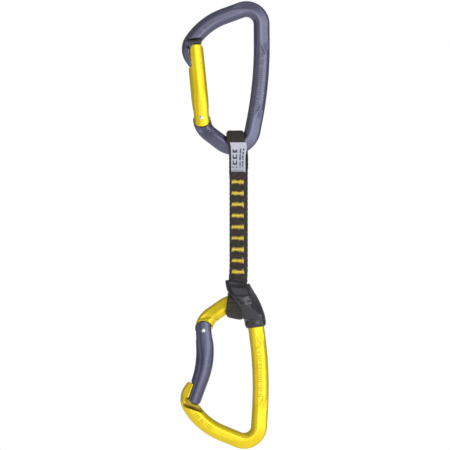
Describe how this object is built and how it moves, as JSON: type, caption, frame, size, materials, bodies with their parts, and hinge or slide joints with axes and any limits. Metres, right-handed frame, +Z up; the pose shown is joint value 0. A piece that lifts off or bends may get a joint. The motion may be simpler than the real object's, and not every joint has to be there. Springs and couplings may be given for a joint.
{
  "type": "climbing quickdraw",
  "caption": "Quickdraw with a straight-gate and a bent-gate carabiner joined by a short sewn sling, with a rubber keeper.",
  "frame": {"origin": "inner top of the upper carabiner's large basket, where a bolt hanger bears", "axes": "+Z up with the quickdraw hanging, +X towards the carabiners' spines, the gates open along X, Y across the carabiners' faces"},
  "size_m": [0.0576, 0.025, 0.2887],
  "materials": {
    "slate_alloy": "satin anodised",
    "yellow_alloy": "satin anodised",
    "rivet_steel": "satin",
    "pin_steel": "ground",
    "spring_steel": "drawn wire",
    "black_tape": "woven",
    "label_cloth": "fine satin weave",
    "black_rubber": "smooth",
    "yellow_thread": "zigzag stitched"
  },
  "bodies": {
    "upper_carabiner": {"upper_frame": "slate_alloy"},
    "upper_gate": {"upper_gate": "yellow_alloy", "upper_rivet": "rivet_steel", "upper_spring": "spring_steel"},
    "upper_plunger": {"upper_plunger": "pin_steel"},
    "sling": {"sling_tape": "black_tape", "sling_label": "label_cloth", "bar_tack_1": "yellow_thread", "bar_tack_2": "yellow_thread", "bar_tack_3": "yellow_thread", "bar_tack_4": "yellow_thread", "bar_tack_5": "yellow_thread", "bar_tack_6": "yellow_thread", "bar_tack_7": "yellow_thread", "bar_tack_8": "yellow_thread", "bar_tack_9": "yellow_thread"},
    "lower_carabiner": {"lower_frame": "yellow_alloy", "rubber_keeper": "black_rubber"},
    "lower_gate": {"lower_gate": "slate_alloy", "lower_rivet": "rivet_steel", "lower_spring": "spring_steel"},
    "lower_plunger": {"lower_plunger": "pin_steel"}
  },
  "joints": [
    {"name": "upper_gate_hinge", "type": "hinge", "parent": "upper_carabiner", "child": "upper_gate", "pos_m": [-0.02881, 0, -0.06495], "axis": [0, 1, 0], "range_deg": [0, 26], "stiffness_Nm_per_rad": 0.35, "springref_deg": -28.65},
    {"name": "upper_plunger_slide", "type": "slide", "parent": "upper_gate", "child": "upper_plunger", "axis": [-0.0971, 0, 0.9953], "range_m": [0, 0.0016], "deforming": ["upper_spring"]},
    {"name": "sling_swing", "type": "hinge", "parent": "upper_carabiner", "child": "sling", "pos_m": [-0.0056, 0, -0.08362], "axis": [1, 0, 0], "range_deg": [-60, 60]},
    {"name": "lower_swing", "type": "hinge", "parent": "sling", "child": "lower_carabiner", "pos_m": [-0.0056, 0, -0.18412], "axis": [1, 0, 0], "range_deg": [-45, 45], "deforming": ["rubber_keeper"]},
    {"name": "lower_gate_hinge", "type": "hinge", "parent": "lower_carabiner", "child": "lower_gate", "pos_m": [-0.02763, 0, -0.20184], "axis": [0, -1, 0], "range_deg": [0, 30], "stiffness_Nm_per_rad": 0.35, "springref_deg": -28.65},
    {"name": "lower_plunger_slide", "type": "slide", "parent": "lower_gate", "child": "lower_plunger", "axis": [0.0802, 0, -0.9968], "range_m": [0, 0.002], "deforming": ["lower_spring"]}
  ],
  "couplings": [
    {"joint": "upper_plunger_slide", "follows": "upper_gate_hinge", "m_per_rad": 0.0032},
    {"joint": "lower_plunger_slide", "follows": "lower_gate_hinge", "m_per_rad": 0.0035}
  ]
}
